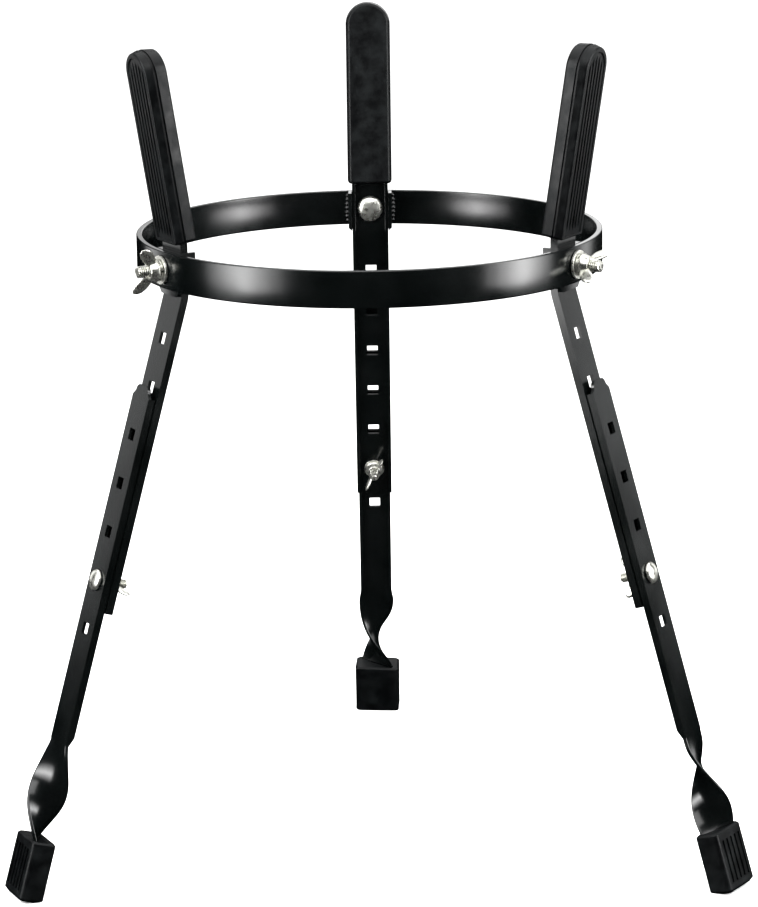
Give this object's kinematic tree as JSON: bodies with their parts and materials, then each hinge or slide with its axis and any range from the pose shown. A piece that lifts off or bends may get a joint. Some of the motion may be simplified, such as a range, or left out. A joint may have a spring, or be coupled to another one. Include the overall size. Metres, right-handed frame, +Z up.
{
  "type": "conga drum stand",
  "caption": "Basket stand for a conga: a steel ring on splayed height-adjustable legs, with rubber pads that cradle the drum and rubber feet.",
  "frame": {"origin": "on the floor, at the middle of the bounding box's base", "axes": "+Z up, +Y towards the back leg, +X towards the right leg's side"},
  "size_m": [0.4934, 0.4328, 0.5504],
  "materials": {
    "black_paint": "gloss black enamel",
    "rubber": "satin black moulded rubber",
    "zinc_plate": "bright zinc plate"
  },
  "bodies": {
    "stand": {"ring": "black_paint", "back_bracket": "black_paint", "back_upper_leg": "black_paint", "back_lower_leg": "black_paint", "back_pad": "rubber", "back_foot": "rubber", "back_ring_bolt": "zinc_plate", "back_leg_bolt": "zinc_plate", "left_bracket": "black_paint", "left_upper_leg": "black_paint", "left_lower_leg": "black_paint", "left_pad": "rubber", "left_foot": "rubber", "left_ring_bolt": "zinc_plate", "left_leg_bolt": "zinc_plate", "right_bracket": "black_paint", "right_upper_leg": "black_paint", "right_lower_leg": "black_paint", "right_pad": "rubber", "right_foot": "rubber", "right_ring_bolt": "zinc_plate", "right_leg_bolt": "zinc_plate"},
    "back_ring_washers": {"back_ring_washer": "zinc_plate", "back_ring_lock_washer": "zinc_plate"},
    "back_ring_nut": {"back_ring_wing_nut": "zinc_plate"},
    "back_leg_washers": {"back_leg_washer": "zinc_plate"},
    "back_leg_nut": {"back_leg_wing_nut": "zinc_plate"},
    "left_ring_washers": {"left_ring_washer": "zinc_plate", "left_ring_lock_washer": "zinc_plate"},
    "left_ring_nut": {"left_ring_wing_nut": "zinc_plate"},
    "left_leg_washers": {"left_leg_washer": "zinc_plate"},
    "left_leg_nut": {"left_leg_wing_nut": "zinc_plate"},
    "right_ring_washers": {"right_ring_washer": "zinc_plate", "right_ring_lock_washer": "zinc_plate"},
    "right_ring_nut": {"right_ring_wing_nut": "zinc_plate"},
    "right_leg_washers": {"right_leg_washer": "zinc_plate"},
    "right_leg_nut": {"right_leg_wing_nut": "zinc_plate"}
  },
  "joints": [
    {"name": "back_ring_nut_travel", "type": "slide", "parent": "stand", "child": "back_ring_washers", "axis": [0, 1, 0], "range_m": [0, 0.00423]},
    {"name": "back_ring_nut_turn", "type": "hinge", "parent": "back_ring_washers", "child": "back_ring_nut", "pos_m": [-0.0007, 0.09957, 0.40672], "axis": [0, 1, 0], "range_deg": [0, 1080]},
    {"name": "back_leg_nut_travel", "type": "slide", "parent": "stand", "child": "back_leg_washers", "axis": [0, -0.9573, -0.289], "range_m": [0, 0.00381]},
    {"name": "back_leg_nut_turn", "type": "hinge", "parent": "back_leg_washers", "child": "back_leg_nut", "pos_m": [-0.0007, 0.13401, 0.20293], "axis": [0, -0.9573, -0.289], "range_deg": [0, 1080]},
    {"name": "left_ring_nut_travel", "type": "slide", "parent": "stand", "child": "left_ring_washers", "axis": [-0.866, -0.5, 0], "range_m": [0, 0.00423]},
    {"name": "left_ring_nut_turn", "type": "hinge", "parent": "left_ring_washers", "child": "left_ring_nut", "pos_m": [-0.14013, -0.14192, 0.40672], "axis": [-0.866, -0.5, 0], "range_deg": [0, 1080]},
    {"name": "left_leg_nut_travel", "type": "slide", "parent": "stand", "child": "left_leg_washers", "axis": [0.8291, 0.4787, -0.289], "range_m": [0, 0.00381]},
    {"name": "left_leg_nut_turn", "type": "hinge", "parent": "left_leg_washers", "child": "left_leg_nut", "pos_m": [-0.16995, -0.15914, 0.20293], "axis": [0.8291, 0.4787, -0.289], "range_deg": [0, 1080]},
    {"name": "right_ring_nut_travel", "type": "slide", "parent": "stand", "child": "right_ring_washers", "axis": [0.866, -0.5, 0], "range_m": [0, 0.00423]},
    {"name": "right_ring_nut_turn", "type": "hinge", "parent": "right_ring_washers", "child": "right_ring_nut", "pos_m": [0.13873, -0.14192, 0.40672], "axis": [0.866, -0.5, 0], "range_deg": [0, 1080]},
    {"name": "right_leg_nut_travel", "type": "slide", "parent": "stand", "child": "right_leg_washers", "axis": [-0.8291, 0.4787, -0.289], "range_m": [0, 0.00381]},
    {"name": "right_leg_nut_turn", "type": "hinge", "parent": "right_leg_washers", "child": "right_leg_nut", "pos_m": [0.16856, -0.15914, 0.20293], "axis": [-0.8291, 0.4787, -0.289], "range_deg": [0, 1080]}
  ],
  "couplings": [
    {"joint": "back_ring_nut_turn", "follows": "back_ring_nut_travel", "rad_per_m": 4452.7},
    {"joint": "back_leg_nut_turn", "follows": "back_leg_nut_travel", "rad_per_m": 4947.4},
    {"joint": "left_ring_nut_turn", "follows": "left_ring_nut_travel", "rad_per_m": 4452.7},
    {"joint": "left_leg_nut_turn", "follows": "left_leg_nut_travel", "rad_per_m": 4947.4},
    {"joint": "right_ring_nut_turn", "follows": "right_ring_nut_travel", "rad_per_m": 4452.7},
    {"joint": "right_leg_nut_turn", "follows": "right_leg_nut_travel", "rad_per_m": 4947.4}
  ]
}
